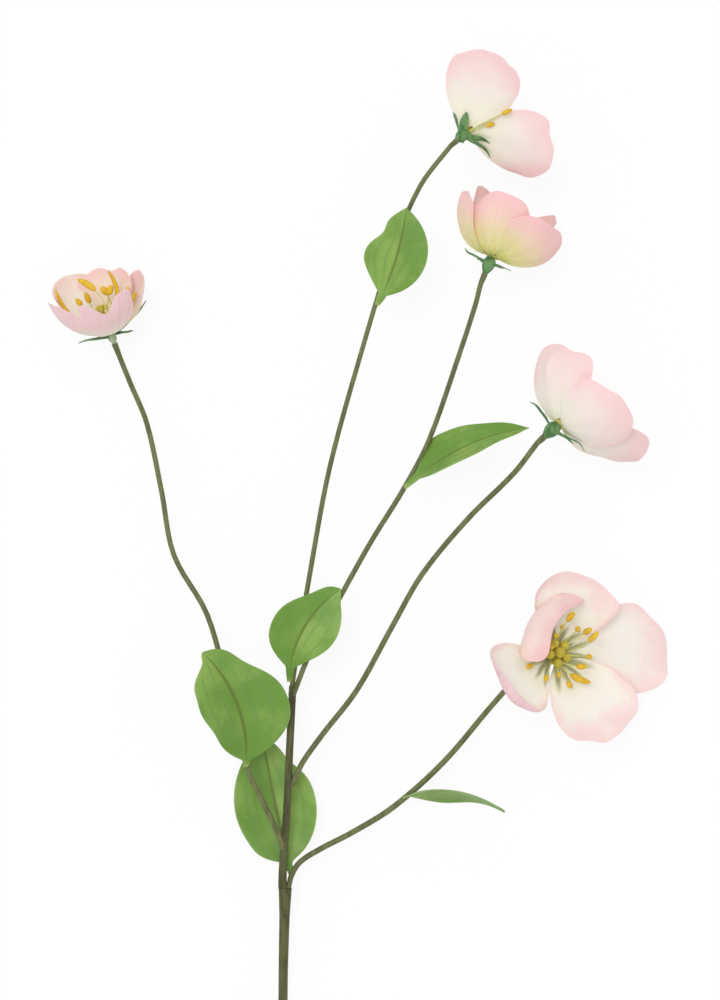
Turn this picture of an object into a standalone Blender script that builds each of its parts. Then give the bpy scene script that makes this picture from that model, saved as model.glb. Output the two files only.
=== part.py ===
"""Melastoma spray: one cut, branching stem with five flowers and six leaves.

The spray lies on its back on a surface at z = 0, its stem along +Y and its flowers
towards +Y, +X and -X. The origin is under the middle of the whole spray. Metres, +Z up.
Angles in the tables are degrees, and their lengths are millimetres.
"""

import math
from collections import namedtuple

import bmesh
import bpy
from mathutils import Matrix, Vector

MM = 0.001
GAP = 0.3  # mm left between a piece and the piece that carries it

PETAL_THICKNESS = 0.5
LEAF_THICKNESS = 0.6
STALK_WIDTH = 2.2
PETAL_GRID = (7, 6)  # rows along and columns across
LEAF_GRID = (10, 4)
PATH_STEPS = 32  # fine steps that a bent midline is summed over

CALYX_LENGTH = 11.0  # from the stem to the flat top that the petals stand on
CALYX_PROFILE = ((1.5, -11.0), (1.9, -8.0), (3.2, -5.2), (3.9, -2.6), (3.5, -0.6), (2.9, 0.0))
SEPAL_BAND = 2  # the ring of faces, counted from the stem, that the sepals grow from
SEPAL_SIZES = ((0.15, 4.6, 0.9), (0.4, 5.2, 0.8), (0.75, 2.8, 0.7), (1.0, 0.7, 0.5))

STAMEN_COUNT = 15
LEAN_SPIN = 116  # where the stamens of a leaning bunch lean to
STAMEN_RING = 2.3
LONG_STAMEN = ((0.3, 0.7, 0.7), (0.62, 0.7, 0.7), (0.7, 1.7, 1.5), (0.9, 1.8, 1.5), (1.0, 0.7, 0.7))
SHORT_STAMEN = ((0.45, 0.7, 0.7), (0.74, 0.7, 0.7), (0.8, 1.8, 1.6), (0.95, 1.8, 1.6), (1.0, 0.8, 0.8))

# A blade is a thin curved sheet: a petal or a leaf. Its midline starts at heading and
# pitch [0] and ends at [1]; roll turns it about the midline, cup bends it across, fold
# closes it along the midline, and base and tip say how fast it narrows to each end.
Blade = namedtuple(
    "Blade", "length width heading pitch roll cup fold base tip stalk hinge",
    defaults=(0, 1.0, 0.45, 0, 1),
)
# spin is the place round the flower, from the upper side; open is the angle from the
# flower's axis at the base and at the rim. The stamens open from the first angle to the
# second, have a length, and lean away from the petal that folds in, if one does.
Petal = namedtuple("Petal", "spin open length width cup roll lean hinge", defaults=(1,))
Flower = namedtuple("Flower", "seat heading pitch stamens petals")
Leaf = namedtuple("Leaf", "base blade")

FLOWERS = {
    "a": Flower((52.4, 231.6, 40.1), 45, -35, (16, 34, 24, 0), (
        Petal(-31, (56, 68), 40, 39, 26, 12, 0),
        Petal(66, (66, 72), 43, 35, 26, -22, 0),
        Petal(122, (56, 60), 36, 28, 30, -8, 0),
        Petal(178, (40, 46), 38, 28, 30, 6, 0),
        Petal(-102, (44, 50), 37, 28, 30, 8, 0),
    )),
    "b": Flower((65.0, 169.4, 35.4), 68, -12, (12, 22, 20, 0), (
        Petal(-14, (70, 10), 40, 33, 34, 4, 0),
        Petal(62, (84, 26), 39, 32, 34, -8, 0),
        Petal(126, (74, 18), 38, 29, 34, -8, 0),
        Petal(-164, (66, 10), 38, 29, 34, 6, 0),
        Petal(-89, (80, 12), 39, 30, 34, 10, 0),
    )),
    "c": Flower((97.5, 86.6, 40.6), 42, -20, (12, 22, 20, 0), (
        Petal(22, (84, 36), 41, 37, 30, -4, 0),
        Petal(90, (72, 48), 44, 36, 30, -14, 0),
        Petal(156, (64, 38), 42, 33, 30, 0, 0),
        Petal(-116, (79, 38), 43, 32, 30, 10, 0),
        Petal(-49, (66, 28), 40, 36, 30, 12, 0),
    )),
    "d": Flower((96.7, -27.7, 15.0), 15, 58, (30, 44, 22, 7), (
        Petal(165, (78, 69), 56, 50, 14, 6, 0),
        Petal(99, (69, 66), 48, 48, 16, 6, 0),
        Petal(18, (86, 62), 47, 38, 24, 8, 0),
        Petal(-43, (76, -36), 46, 44, 22, 4, 0, 2.5),
        Petal(-119, (80, 57), 42, 46, 20, -9, 0),
    )),
    "e": Flower((-124.8, 133.0, 18.2), 110, 22, (14, 34, 26, 0), (
        Petal(-4, (82, -4), 37, 30, 34, 0, 0),
        Petal(74, (78, 6), 36, 30, 34, -8, 0),
        Petal(152, (62, 8), 35, 33, 32, -6, 0),
        Petal(-138, (76, 18), 37, 30, 32, 8, 0),
        Petal(-78, (80, 2), 37, 29, 34, 10, 0),
    )),
}

# Points of each stem, in order up the plant: x, y, z and radius. A flower's stem runs
# on into the foot of its calyx.
STEMS = {
    "stem_main_lower": (
        (-38.8, -275.5, 2.3, 2.3), (-38.9, -235.0, 5.6, 2.3), (-38.6, -190.0, 9.2, 2.35),
        (-37.9, -160.0, 11.6, 2.6), (-37.5, -145.2, 12.8, 3.4),
    ),
    "stem_main_upper": (
        (-38.9, -144.9, 12.8, 2.0), (-38.3, -128.0, 14.2, 1.95), (-36.6, -106.0, 16.0, 1.95),
        (-35.2, -75.0, 18.4, 1.9), (-33.6, -43.5, 20.6, 1.9),
    ),
    "stem_flower_a": (
        (-34.0, -43.1, 19.8, 1.25), (-31.4, -26.0, 22.0, 1.25), (-24.6, 15.0, 26.0, 1.25),
        (-15.0, 66.0, 30.0, 1.25), (1.0, 124.0, 34.0, 1.2), (16.3, 173.2, 39.0, 1.2),
        (29.5, 204.0, 46.0, 1.2),
    ),
    "stem_flower_b": (
        (-31.6, -43.1, 22.0, 1.3), (-25.0, -27.0, 23.5, 1.3), (-8.5, 3.7, 26.0, 1.3),
        (6.0, 29.6, 28.0, 1.3), (21.4, 54.5, 30.0, 1.3), (34.3, 79.3, 32.0, 1.25),
        (50.0, 124.0, 35.0, 1.25), (57.4, 147.0, 36.8, 1.25),
    ),
    "stem_flower_c": (
        (-32.3, -94.0, 17.2, 1.4), (-28.4, -82.0, 18.4, 1.4), (-18.6, -67.5, 20.5, 1.4),
        (-1.6, -45.3, 25.0, 1.4), (16.4, -12.7, 30.0, 1.35), (31.0, 12.9, 35.0, 1.35),
        (53.2, 40.6, 40.5, 1.35), (75.4, 63.4, 43.5, 1.35),
    ),
    "stem_flower_d": (
        (-35.4, -144.9, 12.0, 1.4), (-34.2, -138.7, 12.2, 1.4), (-30.1, -132.2, 12.5, 1.4),
        (-20.0, -125.6, 13.2, 1.45), (-3.5, -116.9, 14.8, 1.45), (17.0, -104.0, 16.5, 1.5),
        (42.1, -81.9, 11.5, 1.45), (66.0, -56.0, 5.4, 1.4), (82.0, -38.4, 3.0, 1.4),
    ),
    "stem_flower_e": (
        (-38.6, -127.0, 17.9, 1.35), (-42.5, -113.1, 18.9, 1.35), (-56.5, -84.0, 20.0, 1.35),
        (-66.0, -45.5, 19.0, 1.35), (-76.5, -8.0, 17.0, 1.35), (-93.3, 21.9, 14.0, 1.3),
        (-99.6, 54.0, 12.5, 1.3), (-107.0, 88.0, 12.0, 1.3), (-115.2, 108.0, 12.6, 1.3),
    ),
}

LEAVES = (
    Leaf((8.4, 146.0, 37.4), Blade(51, 31, (62, 84), (20, 3), (0, 0), 14, 6, 0.9, 0.9, 0.1)),
    Leaf((22.2, 55.5, 32.5), Blade(71, 25, (44, 8), (16, -2), (-48, -46), 14, 8, 0.9, 1.0, 0.1)),
    Leaf((-35.2, -41.2, 21.6), Blade(54, 34, (89, 31), (24, -4), (0, 0), 14, 6, 0.9, 0.8, 0.12)),
    Leaf((-57.0, -83.8, 22.2), Blade(63, 50, (84, 136), (18, 0), (18, 22), 12, 14, 0.8, 0.8, 0.05)),
    Leaf((-34.5, -139.0, 10.6), Blade(70, 42, (104, 100), (-14, 4), (0, 0), 12, 4, 0.6, 0.7, 0.1)),
    Leaf((21.5, -97.0, 18.2), Blade(54, 27, (22, -38), (6, -8), (80, 78), 14, 6, 0.9, 0.9, 0.12)),
)


def unit_direction(heading, pitch):
    """Unit vector at a heading round Z and a pitch above the XY plane, in radians."""
    level = math.cos(pitch)
    return Vector((level * math.cos(heading), level * math.sin(heading), math.sin(pitch)))


def between(ends, share):
    return ends[0] + (ends[1] - ends[0]) * share


class Midline:
    """A bent line of a given length, whose heading and roll turn evenly.

    Its pitch turns evenly where hinge is 1, and within the middle 1 / hinge of it otherwise.
    """

    def __init__(self, length, heading, pitch, roll=(0, 0), hinge=1):
        self.heading, self.pitch, self.roll = (
            tuple(map(math.radians, ends)) for ends in (heading, pitch, roll)
        )
        self.hinge = hinge
        step = length / PATH_STEPS
        self.points = [Vector((0, 0, 0))]
        for index in range(PATH_STEPS):
            ahead = unit_direction(*self.direction((index + 0.5) / PATH_STEPS))
            self.points.append(self.points[-1] + ahead * step)

    def direction(self, share):
        turned = min(max((share - 0.5) * self.hinge + 0.5, 0), 1)
        return between(self.heading, share), between(self.pitch, turned)

    def at(self, share):
        """The point at a share of the length, with the side and the upper direction there."""
        place = min(share * PATH_STEPS, PATH_STEPS - 1e-6)
        index = int(place)
        point = self.points[index].lerp(self.points[index + 1], place - index)
        heading, pitch = self.direction(share)
        roll = between(self.roll, share)
        side = Vector((-math.sin(heading), math.cos(heading), 0))
        upper = unit_direction(heading, pitch).cross(side)
        return (
            point,
            side * math.cos(roll) + upper * math.sin(roll),
            upper * math.cos(roll) - side * math.sin(roll),
        )


def half_width(blade, share):
    """Half the width of a blade at a share of its length, past any stalk that it has."""
    widest = blade.base / (blade.base + blade.tip)
    past = max(share - blade.stalk, 0) / (1 - blade.stalk)
    spread = (past / widest) ** blade.base * ((1 - past) / (1 - widest)) ** blade.tip
    if 0 < share < 0.5:
        return max(blade.width / 2 * spread, STALK_WIDTH / 2 if blade.stalk else 0)
    return blade.width / 2 * spread


def blade_mesh(name, blade, grid, start=Vector((0, 0, 0))):
    """An open sheet on the blade's midline, in metres, from a grid whose ends are drawn to points."""
    rows, columns = grid
    line = Midline(blade.length, blade.heading, blade.pitch, blade.roll, blade.hinge)
    cup = math.radians(blade.cup)
    fold = math.radians(blade.fold)
    sheet = bmesh.new()
    bmesh.ops.create_grid(sheet, x_segments=rows, y_segments=columns, size=1)
    for vertex in sheet.verts:
        along = (1 - math.cos(math.pi * (vertex.co.x + 1) / 2)) / 2
        across = vertex.co.y
        point, side, upper = line.at(along)
        half = half_width(blade, along)
        angle = cup * abs(across) + fold
        sideways = half * (math.sin(angle) - math.sin(fold)) / cup
        lift = half * (math.cos(fold) - math.cos(angle)) / cup
        place = start + point + side * math.copysign(sideways, across) + upper * lift
        vertex.co = place * MM
    bmesh.ops.remove_doubles(sheet, verts=sheet.verts, dist=0.001 * MM)
    mesh = bpy.data.meshes.new(name)
    sheet.to_mesh(mesh)
    sheet.free()
    return mesh


def thicken(piece, thickness):
    wall = piece.modifiers.new("Wall", "SOLIDIFY")
    wall.thickness = thickness * MM
    wall.offset = 0


def ring_stack(solid, profile, segments):
    """A closed body through rings of (radius, height), drawn up ring by ring from a cone."""
    (radius_1, low), (radius_2, high) = profile[:2]
    bmesh.ops.create_cone(
        solid, cap_ends=True, segments=segments, radius1=radius_1, radius2=radius_2,
        depth=high - low, matrix=Matrix.Translation((0, 0, (low + high) / 2)),
    )
    radius = radius_2
    for next_radius, height in profile[2:]:
        top = max(solid.faces, key=lambda face: face.calc_center_median().z)
        drawn = bmesh.ops.extrude_discrete_faces(solid, faces=[top])["faces"][0]
        for vertex in drawn.verts:
            vertex.co.xy *= next_radius / radius
            vertex.co.z = height
        radius = next_radius


def draw_out(solid, face, start, line, sizes):
    """Extrudes a four-sided face along a midline, through stations of (share, width, thickness)."""
    middle = face.calc_center_median()
    side, upper = line.at(0)[1:]
    corners = []
    for vertex in face.verts:
        offset = vertex.co - middle
        corners.append((math.copysign(0.5, offset.dot(side)), math.copysign(0.5, offset.dot(upper))))
    for share, width, thickness in sizes:
        face = bmesh.ops.extrude_discrete_faces(solid, faces=[face])["faces"][0]
        point, side, upper = line.at(share)
        for vertex, (sideways, upwards) in zip(face.verts, corners):
            vertex.co = start + point + side * (width * sideways) + upper * (thickness * upwards)


def side_faces(solid, low, high):
    """The faces round the Z axis between two heights, in order of their angle."""
    faces = []
    for face in solid.faces:
        centre = face.calc_center_median()
        if low < centre.z < high and len(face.verts) == 4 and abs(face.normal.z) < 0.9:
            faces.append((math.atan2(centre.y, centre.x) % math.tau, face))
    return sorted(faces, key=lambda entry: entry[0])


def finish_solid(solid, name):
    """Scales a closed body from millimetres and makes a mesh of it, with its faces out."""
    bmesh.ops.scale(solid, vec=(MM, MM, MM), verts=solid.verts)
    bmesh.ops.recalc_face_normals(solid, faces=solid.faces)
    mesh = bpy.data.meshes.new(name)
    solid.to_mesh(mesh)
    solid.free()
    return mesh


def calyx_mesh(name):
    """An urn with five pointed sepals spread from its widest band."""
    solid = bmesh.new()
    ring_stack(solid, CALYX_PROFILE, 10)
    solid.normal_update()
    low = CALYX_PROFILE[SEPAL_BAND][1]
    high = CALYX_PROFILE[SEPAL_BAND + 1][1]
    for angle, face in side_faces(solid, low, high)[::2]:
        start = face.calc_center_median()
        turn = math.degrees(angle)
        line = Midline(12, (turn, turn), (20, -6))
        draw_out(solid, face, start, line, SEPAL_SIZES)
    return finish_solid(solid, name)


def stamen_mesh(name, near, far, length, lean):
    """A low ring on the calyx with bent filaments round it, each ending in an anther."""
    solid = bmesh.new()
    ring_stack(solid, ((STAMEN_RING, GAP), (STAMEN_RING, 1.2), (1.5, 1.6)), STAMEN_COUNT)
    solid.normal_update()
    for index, (angle, face) in enumerate(side_faces(solid, GAP, 1.2)):
        long = index % 3 == 0
        start = face.calc_center_median()
        turn = math.degrees(angle)
        end = far if long else between((near, far), 0.6)
        tilt = lean * math.cos(angle)
        reach = length if long else length * (0.62 + 0.1 * (index % 2))
        line = Midline(reach, (turn, turn), (90 - near - tilt, 90 - end - tilt))
        draw_out(solid, face, start, line, LONG_STAMEN if long else SHORT_STAMEN)
    return finish_solid(solid, name)


def pistil_mesh(name):
    """A knob on a short foot, with five stubby lobes round it."""
    solid = bmesh.new()
    foot = 1.6 + GAP
    ring_stack(
        solid,
        ((1.1, foot), (1.2, foot + 1.2), (1.1, foot + 2.2), (1.4, foot + 3.4), (1.3, foot + 4.4),
         (0.6, foot + 4.9)),
        10,
    )
    solid.normal_update()
    for angle, face in side_faces(solid, foot, foot + 1.2)[::2]:
        turn = math.degrees(angle)
        line = Midline(3.6, (turn, turn), (48, 88))
        draw_out(solid, face, face.calc_center_median(), line,
                 ((0.35, 0.7, 0.6), (0.6, 0.9, 0.7), (0.9, 0.9, 0.7), (1.0, 0.5, 0.4)))
    return finish_solid(solid, name)


def make_material(name, colour, roughness):
    material = bpy.data.materials.new(name)
    material.use_nodes = True
    shader = material.node_tree.nodes["Principled BSDF"]
    shader.inputs["Base Color"].default_value = (*colour, 1)
    shader.inputs["Roughness"].default_value = roughness
    shader.inputs["Metallic"].default_value = 0
    return material


def add_piece(collection, mesh, material):
    piece = bpy.data.objects.new(mesh.name, mesh)
    mesh.materials.append(material)
    mesh.shade_smooth()
    collection.objects.link(piece)
    return piece


def flower_frame(flower):
    """The flower's own frame: Z along its axis, X on its upper side, at the seat of its petals."""
    axis = unit_direction(math.radians(flower.heading), math.radians(flower.pitch))
    upper = (Vector((0, 0, 1)) - axis * axis.z).normalized()
    frame = Matrix((upper, axis.cross(upper), axis)).transposed().to_4x4()
    frame.translation = Vector(flower.seat) * MM
    return frame


def make_petal(collection, name, petal, material):
    """A petal on the +X side of the flower, narrow at its claw and round at its rim."""
    blade = Blade(
        petal.length, petal.width, (0, petal.lean), (90 - petal.open[0], 90 - petal.open[1]),
        (petal.roll, petal.roll), petal.cup, hinge=petal.hinge,
    )
    claw = Vector((2.75, 0, GAP + PETAL_THICKNESS))
    piece = add_piece(collection, blade_mesh(name, blade, PETAL_GRID, claw), material)
    thicken(piece, PETAL_THICKNESS)
    return piece


def make_flower(collection, letter, flower, materials):
    holder = bpy.data.objects.new(f"flower_{letter}", None)
    holder.matrix_world = flower_frame(flower)
    collection.objects.link(holder)
    pieces = [
        add_piece(collection, calyx_mesh(f"flower_{letter}_calyx"), materials["calyx"]),
        add_piece(collection, stamen_mesh(f"flower_{letter}_stamens", *flower.stamens),
                  materials["anther"]),
        add_piece(collection, pistil_mesh(f"flower_{letter}_pistil"), materials["pistil"]),
    ]
    for number, petal in enumerate(flower.petals, 1):
        piece = make_petal(collection, f"flower_{letter}_petal_{number}", petal, materials["petal"])
        piece.rotation_euler.z = math.radians(petal.spin)
        pieces.append(piece)
    pieces[0].rotation_euler.z = math.radians(flower.petals[0].spin)
    pieces[1].rotation_euler.z = math.radians(LEAN_SPIN)
    for piece in pieces:
        piece.parent = holder


def make_stem(collection, name, route, material):
    """A round stem through its points, with flat cut ends."""
    curve = bpy.data.curves.new(name, "CURVE")
    curve.dimensions = "3D"
    curve.resolution_u = 4
    curve.bevel_depth = MM
    curve.bevel_resolution = 2
    curve.use_fill_caps = True
    curve.materials.append(material)
    spline = curve.splines.new("BEZIER")
    spline.bezier_points.add(len(route) - 1)
    for point, (x, y, z, radius) in zip(spline.bezier_points, route):
        point.co = Vector((x, y, z)) * MM
        point.radius = radius
        point.handle_left_type = "AUTO"
        point.handle_right_type = "AUTO"
    stem = bpy.data.objects.new(name, curve)
    collection.objects.link(stem)
    return stem


def into_calyx(route, flower):
    """The stem's route, led along the flower's axis to the foot of its calyx."""
    axis = unit_direction(math.radians(flower.heading), math.radians(flower.pitch))
    foot = Vector(flower.seat) - axis * (CALYX_LENGTH + GAP)
    radius = route[-1][3]
    return (*route, (*(foot - axis * 3), radius), (*foot, radius))


def make_leaf(collection, name, leaf, material):
    mesh = blade_mesh(name, leaf.blade, LEAF_GRID, Vector(leaf.base))
    piece = add_piece(collection, mesh, material)
    thicken(piece, LEAF_THICKNESS)


def main():
    for old in list(bpy.data.objects):
        bpy.data.objects.remove(old)
    spray = bpy.data.collections.new("Melastoma spray")
    bpy.context.scene.collection.children.link(spray)
    materials = {
        "petal": make_material("Petal", (0.90, 0.76, 0.70), 0.6),
        "calyx": make_material("Calyx", (0.09, 0.21, 0.09), 0.6),
        "anther": make_material("Anther", (0.72, 0.43, 0.03), 0.55),
        "pistil": make_material("Pistil", (0.50, 0.46, 0.07), 0.6),
        "leaf": make_material("Leaf", (0.20, 0.38, 0.08), 0.6),
        "stem": make_material("Stem", (0.15, 0.18, 0.07), 0.55),
    }
    for name, route in STEMS.items():
        letter = name.rpartition("_")[2]
        if letter in FLOWERS:
            route = into_calyx(route, FLOWERS[letter])
        make_stem(spray, name, route, materials["stem"])
    for number, leaf in enumerate(LEAVES, 1):
        make_leaf(spray, f"leaf_{number}", leaf, materials["leaf"])
    for letter, flower in FLOWERS.items():
        make_flower(spray, letter, flower, materials)


main()
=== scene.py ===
import math
import random

import bpy
from mathutils import Matrix, Vector


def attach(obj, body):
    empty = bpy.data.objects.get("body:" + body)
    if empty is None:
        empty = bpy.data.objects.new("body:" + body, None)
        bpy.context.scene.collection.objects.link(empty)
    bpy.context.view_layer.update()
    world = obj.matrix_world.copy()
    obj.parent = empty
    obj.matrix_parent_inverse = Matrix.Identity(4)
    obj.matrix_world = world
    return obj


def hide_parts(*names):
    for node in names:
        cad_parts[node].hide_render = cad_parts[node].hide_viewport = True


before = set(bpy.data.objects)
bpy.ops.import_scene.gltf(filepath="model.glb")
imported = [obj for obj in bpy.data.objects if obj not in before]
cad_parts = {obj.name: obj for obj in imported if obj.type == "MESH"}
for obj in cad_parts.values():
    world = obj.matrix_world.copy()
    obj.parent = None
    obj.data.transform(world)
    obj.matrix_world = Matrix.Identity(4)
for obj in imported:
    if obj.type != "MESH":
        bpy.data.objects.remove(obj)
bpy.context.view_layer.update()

mm = 0.001


def paint(red, green, blue):  # a colour as a picture program shows it, 0 to 255
    linear = []
    for part in (red, green, blue):
        part /= 255
        linear.append(part / 12.92 if part < 0.04045 else ((part + 0.055) / 1.055) ** 2.4)
    return (*linear, 1)


def blend(ends, share):
    return ends[0] + (ends[1] - ends[0]) * share


def aim(heading, pitch):
    level = math.cos(pitch)
    return Vector((level * math.cos(heading), level * math.sin(heading), math.sin(pitch)))


def selectOnly(*pieces):
    bpy.ops.object.select_all(action="DESELECT")
    for piece in pieces:
        piece.select_set(True)
    bpy.context.view_layer.objects.active = pieces[0]


def joinPieces(name, pieces):
    selectOnly(*pieces)
    if len(pieces) > 1:
        bpy.ops.object.join()
    piece = bpy.context.object
    piece.name = name
    piece.data.name = name
    return piece


def applyModifiers(piece):
    selectOnly(piece)
    for modifier in list(piece.modifiers):
        bpy.ops.object.modifier_apply(modifier=modifier.name)


bpy.context.tool_settings.mesh_select_mode = (False, False, True)  # faces are what is drawn up


# A midline that starts at heading and pitch [0] and ends at [1]. The pitch turns within the
# middle 1 / hinge of it, and tipTurn is turned on top of that from tipFrom to the end.
def bentLine(length, heading, pitch, roll=(0, 0), hinge=1, tipTurn=0, tipFrom=0.8):
    steps = 60

    def facing(share):
        turned = min(max((share - 0.5) * hinge + 0.5, 0), 1)
        tip = max(share - tipFrom, 0) / (1 - tipFrom)
        return math.radians(blend(heading, share)), math.radians(blend(pitch, turned) + tipTurn * tip)

    points = [Vector()]
    for step in range(steps):
        points.append(points[-1] + aim(*facing((step + 0.5) / steps)) * (length / steps))

    def at(share):
        place = min(max(share, 0) * steps, steps - 1e-6)
        point = points[int(place)].lerp(points[int(place) + 1], place % 1)
        turn, rise = facing(share)
        twist = math.radians(blend(roll, share))
        side = Vector((-math.sin(turn), math.cos(turn), 0))
        upper = aim(turn, rise).cross(side)
        return (point, side * math.cos(twist) + upper * math.sin(twist),
                upper * math.cos(twist) - side * math.sin(twist))

    return at


def halfWidth(width, share, base, tip):  # of a blade that narrows to both ends
    widest = base / (base + tip)
    share = min(max(share, 0), 1)
    return width / 2 * (share / widest) ** base * ((1 - share) / (1 - widest)) ** tip


def addSheet(rows, columns):  # a flat sheet from -1 to 1, with its length along X
    bpy.ops.object.select_all(action="DESELECT")
    bpy.ops.mesh.primitive_grid_add(x_subdivisions=rows, y_subdivisions=columns, size=2, calc_uvs=True)
    return bpy.context.object


def weldPoints(piece, turnOut):  # merges what meets, and may turn the faces outward
    selectOnly(piece)
    bpy.ops.object.mode_set(mode="EDIT")
    bpy.ops.mesh.select_all(action="SELECT")
    bpy.ops.mesh.remove_doubles(threshold=0.000002)
    if turnOut:
        bpy.ops.mesh.normals_make_consistent(inside=False)
    bpy.ops.object.mode_set(mode="OBJECT")


def soften(piece):
    soft = piece.modifiers.new("Soft", "SUBSURF")
    soft.levels = 1
    soft.render_levels = 1
    applyModifiers(piece)
    bpy.ops.object.shade_smooth()


def closeSheet(piece, thickness, upper, lower):  # merges a pointed end, and gives the sheet a wall
    piece.data.materials.append(upper)
    piece.data.materials.append(lower)
    weldPoints(piece, False)  # the grid's faces already look all one way, to the upper side
    wall = piece.modifiers.new("Wall", "SOLIDIFY")
    wall.thickness = thickness * mm
    wall.offset = 0
    wall.material_offset = 1
    wall.material_offset_rim = 1
    soften(piece)


def addRod(name, routes, sides=3):  # round rods through points of (place, radius), all one mesh
    curve = bpy.data.curves.new(name, "CURVE")
    curve.dimensions = "3D"
    curve.bevel_depth = mm
    curve.bevel_resolution = sides
    curve.use_fill_caps = True
    for route in routes:
        spline = curve.splines.new("POLY")
        spline.points.add(len(route) - 1)
        for point, (place, radius) in zip(spline.points, route):
            point.co = (*place, 1)
            point.radius = radius
        spline.use_smooth = True
    piece = bpy.data.objects.new(name, curve)
    bpy.context.collection.objects.link(piece)
    selectOnly(piece)
    bpy.ops.object.convert(target="MESH")
    piece = bpy.context.object
    weldPoints(piece, True)
    bpy.ops.object.shade_smooth_by_angle(angle=math.radians(50))
    return piece


def growTower(name, rings, sides):  # a closed round body, drawn up ring by ring from a cone
    (lowRadius, low), (radius, height) = rings[:2]
    bpy.ops.object.select_all(action="DESELECT")
    bpy.ops.mesh.primitive_cone_add(vertices=sides, radius1=lowRadius * mm, radius2=radius * mm,
                                    depth=(height - low) * mm, location=(0, 0, (low + height) / 2 * mm))
    piece = bpy.context.object
    bpy.ops.object.transform_apply(location=True, rotation=False, scale=False)
    for face in piece.data.polygons:
        face.select = face.normal.z > 0.99
    for edge in piece.data.edges:
        edge.select = False
    bpy.ops.object.mode_set(mode="EDIT")
    for nextRadius, nextHeight in rings[2:]:
        bpy.ops.mesh.extrude_region_move(
            TRANSFORM_OT_translate={"value": (0, 0, (nextHeight - height) * mm)})
        bpy.ops.transform.resize(value=(nextRadius / radius, nextRadius / radius, 1))
        radius, height = nextRadius, nextHeight
    bpy.ops.object.mode_set(mode="OBJECT")
    piece.name = name
    soften(piece)
    return piece


def startGroup(name, colours, amounts):  # a shared effect, which gives out a colour and a height
    tree = bpy.data.node_groups.new(name, "ShaderNodeTree")
    for label in colours:
        socket = tree.interface.new_socket(name=label, in_out="INPUT", socket_type="NodeSocketColor")
        socket.default_value = (1, 1, 1, 1)
    for label in amounts:
        socket = tree.interface.new_socket(name=label, in_out="INPUT", socket_type="NodeSocketFloat")
        socket.default_value = 1
    tree.interface.new_socket(name="Colour", in_out="OUTPUT", socket_type="NodeSocketColor")
    tree.interface.new_socket(name="Height", in_out="OUTPUT", socket_type="NodeSocketFloat")
    return tree, tree.nodes.new("NodeGroupInput").outputs, tree.nodes.new("NodeGroupOutput").inputs


def feed(tree, socket, value):
    if isinstance(value, bpy.types.NodeSocket):
        tree.links.new(value, socket)
    else:
        socket.default_value = value


def calc(tree, operation, *values):
    node = tree.nodes.new("ShaderNodeMath")
    node.operation = operation
    for socket, value in zip(node.inputs, values):
        feed(tree, socket, value)
    return node.outputs[0]


def ramp(tree, value, low, high, first=0, last=1):  # a smooth step from first to last
    node = tree.nodes.new("ShaderNodeMapRange")
    node.interpolation_type = "SMOOTHSTEP"
    for label, amount in (("Value", value), ("From Min", low), ("From Max", high), ("To Min", first),
                          ("To Max", last)):
        feed(tree, node.inputs[label], amount)
    return node.outputs["Result"]


def tint(tree, share, first, second, mode="MIX"):
    node = tree.nodes.new("ShaderNodeMix")
    node.data_type = "RGBA"
    node.blend_type = mode
    for label, value in (("Factor_Float", share), ("A_Color", first), ("B_Color", second)):
        feed(tree, next(socket for socket in node.inputs if socket.identifier == label), value)
    return next(socket for socket in node.outputs if socket.identifier == "Result_Color")


def grain(tree, scale, detail=2, stretch=(1, 1, 1)):  # noise on the object's own coordinates
    place = tree.nodes.new("ShaderNodeTexCoord").outputs["Object"]
    if stretch != (1, 1, 1):
        mapping = tree.nodes.new("ShaderNodeMapping")
        mapping.inputs["Scale"].default_value = stretch
        tree.links.new(place, mapping.inputs["Vector"])
        place = mapping.outputs["Vector"]
    node = tree.nodes.new("ShaderNodeTexNoise")
    node.inputs["Scale"].default_value = scale
    node.inputs["Detail"].default_value = detail
    tree.links.new(place, node.inputs["Vector"])
    return node.outputs["Fac"]


def sheetPlace(tree):  # how far out along a blade, and how far from its middle line
    split = tree.nodes.new("ShaderNodeSeparateXYZ")
    tree.links.new(tree.nodes.new("ShaderNodeUVMap").outputs["UV"], split.inputs[0])
    across = calc(tree, "MULTIPLY_ADD", split.outputs[1], 2.0, -1.0)
    return split.outputs[0], across, calc(tree, "ABSOLUTE", across)


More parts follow.
